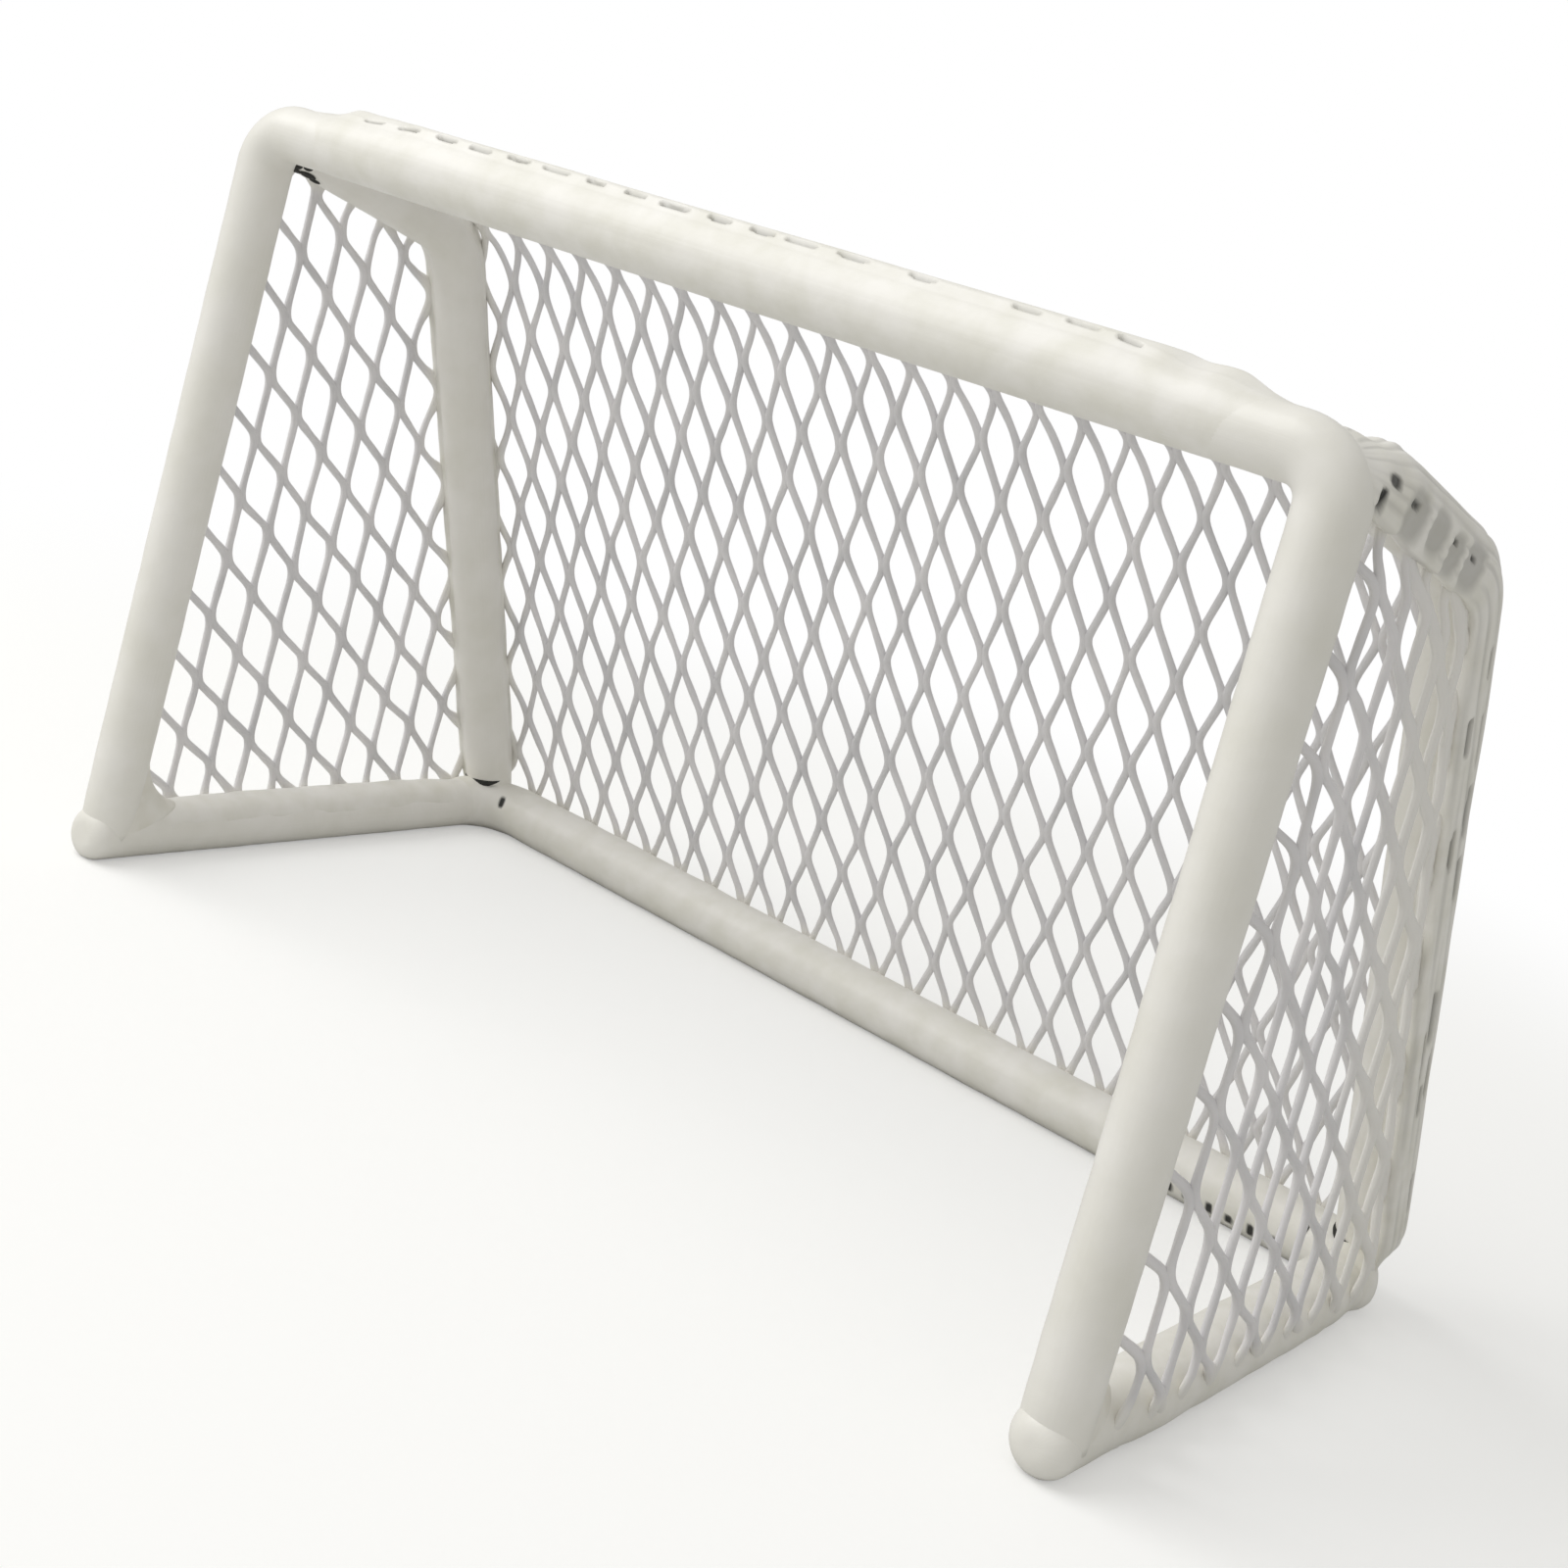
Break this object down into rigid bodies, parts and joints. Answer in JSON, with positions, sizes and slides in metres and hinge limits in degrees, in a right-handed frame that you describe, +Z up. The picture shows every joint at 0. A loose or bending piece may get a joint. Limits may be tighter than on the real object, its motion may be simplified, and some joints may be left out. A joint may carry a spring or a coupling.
{
  "type": "hockey goal net",
  "caption": "Small white ice hockey goal: bent round-bar frame with a stiff diamond mesh over its back, roof and sides.",
  "frame": {"origin": "on the ground, under the middle of the goal", "axes": "+Z up, the goal mouth faces -Y, the crossbar runs along X, +X is the right-hand post seen from in front"},
  "size_m": [0.1702, 0.0878, 0.1103],
  "materials": {
    "bar": "white brushed enamel over steel bar, satin, slightly thick and uneven",
    "net": "stiff diamond mesh coated in the same white enamel",
    "hem": "edge of the mesh folded round the bar and clogged with white enamel",
    "pin": "plain steel pin, hidden in the joint",
    "filler": "hard white filler painted over"
  },
  "bodies": {
    "root": {"front_frame": "bar", "base_frame": "bar", "left_side_rod": "bar", "right_side_rod": "bar", "foot_pins": "pin", "rear_pins": "pin", "corner_pins": "pin", "back_net": "net", "roof_net": "net", "shoulder_net": "net", "left_side_net": "net", "right_side_net": "net", "crossbar_hem": "hem", "back_base_hem": "hem", "left_base_hem": "hem", "right_base_hem": "hem", "left_top_hem": "hem", "right_top_hem": "hem", "left_upright_hem": "hem", "right_upright_hem": "hem", "left_foot_bead": "filler", "right_foot_bead": "filler"}
  },
  "joints": []
}
